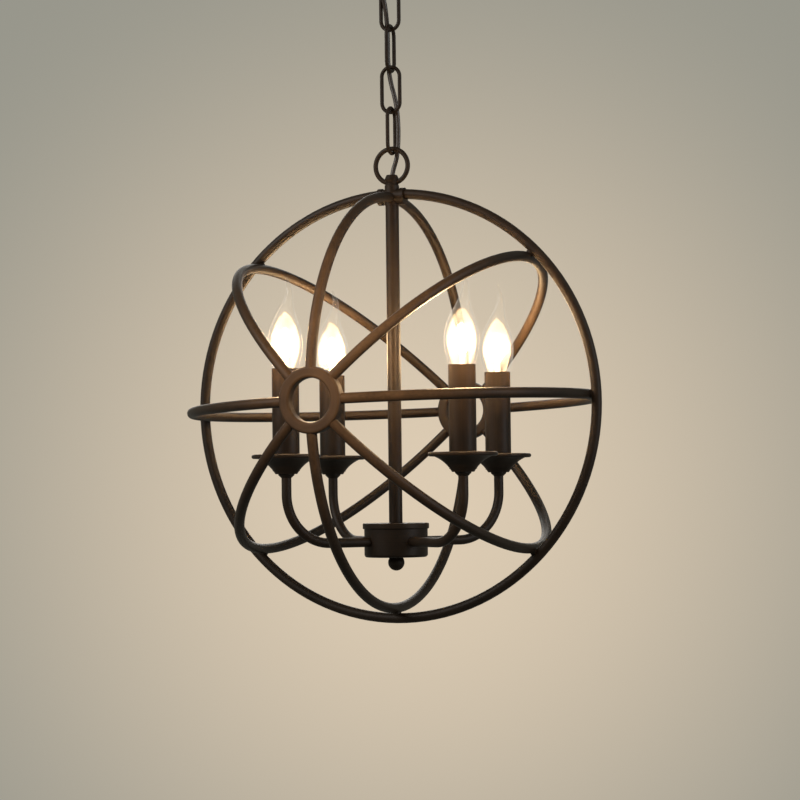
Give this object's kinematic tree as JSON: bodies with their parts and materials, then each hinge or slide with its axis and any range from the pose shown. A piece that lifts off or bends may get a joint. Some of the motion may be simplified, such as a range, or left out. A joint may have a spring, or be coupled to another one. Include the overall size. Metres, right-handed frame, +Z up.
{
  "type": "orb chandelier",
  "caption": "Spherical cage of nested metal rings round upright candle lights on curved arms, hung by a chain and cord from a round ceiling canopy.",
  "frame": {"origin": "centre of the canopy's rim, in the plane of the ceiling", "axes": "+Z up, away from the lamp; the outer ring stands in the XZ plane; the eyes face -Y and +Y"},
  "size_m": [0.45, 0.4262, 0.7305],
  "materials": {
    "bronze_paint": "satin",
    "zinc_steel": "zinc plated",
    "brass": "plain",
    "cord_sheath": "smooth PVC",
    "white_plastic": "moulded",
    "black_plastic": "moulded",
    "clear_glass": "clear, lit from inside",
    "lead_sheath": "smooth PVC"
  },
  "bodies": {
    "ceiling_set": {"ceiling_bar": "zinc_steel", "canopy": "bronze_paint", "canopy_nipple": "zinc_steel", "canopy_nuts": "zinc_steel", "terminal_block": "white_plastic", "terminal_screws": "brass", "cord_bushing": "black_plastic", "ceiling_loop": "bronze_paint", "cord_span_1": "cord_sheath"},
    "link_1": {"chain_link_1": "bronze_paint", "cord_span_2": "cord_sheath"},
    "link_2": {"chain_link_2": "bronze_paint", "cord_span_3": "cord_sheath"},
    "link_3": {"chain_link_3": "bronze_paint", "cord_span_4": "cord_sheath"},
    "link_4": {"chain_link_4": "bronze_paint"},
    "lamp": {"lamp_loop": "bronze_paint", "crown_joint": "bronze_paint", "stem": "bronze_paint", "stem_nipples": "zinc_steel", "outer_ring": "bronze_paint", "vertical_ring": "bronze_paint", "horizontal_ring": "bronze_paint", "diagonal_ring_a": "bronze_paint", "diagonal_ring_b": "bronze_paint", "front_eye": "bronze_paint", "rear_eye": "bronze_paint", "ring_welds": "bronze_paint", "hub_lid": "bronze_paint", "hub_cup": "bronze_paint", "finial": "bronze_paint", "lamp_nuts": "zinc_steel", "arm_leads": "lead_sheath", "lampholders": "black_plastic", "lampholder_contacts": "brass", "cord_span_5": "cord_sheath", "arm_1": "bronze_paint", "drip_pan_1": "bronze_paint", "candle_sleeve_1": "bronze_paint", "arm_2": "bronze_paint", "drip_pan_2": "bronze_paint", "candle_sleeve_2": "bronze_paint", "arm_3": "bronze_paint", "drip_pan_3": "bronze_paint", "candle_sleeve_3": "bronze_paint", "arm_4": "bronze_paint", "drip_pan_4": "bronze_paint", "candle_sleeve_4": "bronze_paint"},
    "bulb_carriage_1": {"bulb_contact_1": "brass"},
    "bulb_1": {"bulb_glass_1": "clear_glass", "bulb_cap_1": "brass"},
    "bulb_carriage_2": {"bulb_contact_2": "brass"},
    "bulb_2": {"bulb_glass_2": "clear_glass", "bulb_cap_2": "brass"},
    "bulb_carriage_3": {"bulb_contact_3": "brass"},
    "bulb_3": {"bulb_glass_3": "clear_glass", "bulb_cap_3": "brass"},
    "bulb_carriage_4": {"bulb_contact_4": "brass"},
    "bulb_4": {"bulb_glass_4": "clear_glass", "bulb_cap_4": "brass"}
  },
  "joints": [
    {"name": "link_1_swing", "type": "hinge", "parent": "ceiling_set", "child": "link_1", "pos_m": [0, 0, -0.0715], "axis": [0, 1, 0], "range_deg": [-20, 20], "deforming": ["cord_span_1"]},
    {"name": "link_2_swing", "type": "hinge", "parent": "link_1", "child": "link_2", "pos_m": [0, 0, -0.114], "axis": [1, 0, 0], "range_deg": [-20, 20], "deforming": ["cord_span_2"]},
    {"name": "link_3_swing", "type": "hinge", "parent": "link_2", "child": "link_3", "pos_m": [0, 0, -0.157], "axis": [0, 1, 0], "range_deg": [-20, 20], "deforming": ["cord_span_3"]},
    {"name": "link_4_swing", "type": "hinge", "parent": "link_3", "child": "link_4", "pos_m": [0, 0, -0.2], "axis": [1, 0, 0], "range_deg": [-20, 20], "deforming": ["cord_span_4"]},
    {"name": "lamp_swing", "type": "hinge", "parent": "link_4", "child": "lamp", "pos_m": [0, 0, -0.243], "axis": [0, 1, 0], "range_deg": [-20, 20], "deforming": ["cord_span_5"]},
    {"name": "bulb_1_rise", "type": "slide", "parent": "lamp", "child": "bulb_carriage_1", "axis": [0, 0, 1], "range_m": [0, 0.00847]},
    {"name": "bulb_1_turn", "type": "hinge", "parent": "bulb_carriage_1", "child": "bulb_1", "pos_m": [0.07534, 0.10447, -0.50547], "axis": [0, 0, 1], "range_deg": [0, 1080]},
    {"name": "bulb_2_rise", "type": "slide", "parent": "lamp", "child": "bulb_carriage_2", "axis": [0, 0, 1], "range_m": [0, 0.00847]},
    {"name": "bulb_2_turn", "type": "hinge", "parent": "bulb_carriage_2", "child": "bulb_2", "pos_m": [-0.10447, 0.07534, -0.50547], "axis": [0, 0, 1], "range_deg": [0, 1080]},
    {"name": "bulb_3_rise", "type": "slide", "parent": "lamp", "child": "bulb_carriage_3", "axis": [0, 0, 1], "range_m": [0, 0.00847]},
    {"name": "bulb_3_turn", "type": "hinge", "parent": "bulb_carriage_3", "child": "bulb_3", "pos_m": [-0.07534, -0.10447, -0.50547], "axis": [0, 0, 1], "range_deg": [0, 1080]},
    {"name": "bulb_4_rise", "type": "slide", "parent": "lamp", "child": "bulb_carriage_4", "axis": [0, 0, 1], "range_m": [0, 0.00847]},
    {"name": "bulb_4_turn", "type": "hinge", "parent": "bulb_carriage_4", "child": "bulb_4", "pos_m": [0.10447, -0.07534, -0.50547], "axis": [0, 0, 1], "range_deg": [0, 1080]}
  ],
  "couplings": [
    {"joint": "bulb_1_turn", "follows": "bulb_1_rise", "rad_per_m": 2226.5},
    {"joint": "bulb_2_turn", "follows": "bulb_2_rise", "rad_per_m": 2226.5},
    {"joint": "bulb_3_turn", "follows": "bulb_3_rise", "rad_per_m": 2226.5},
    {"joint": "bulb_4_turn", "follows": "bulb_4_rise", "rad_per_m": 2226.5}
  ]
}
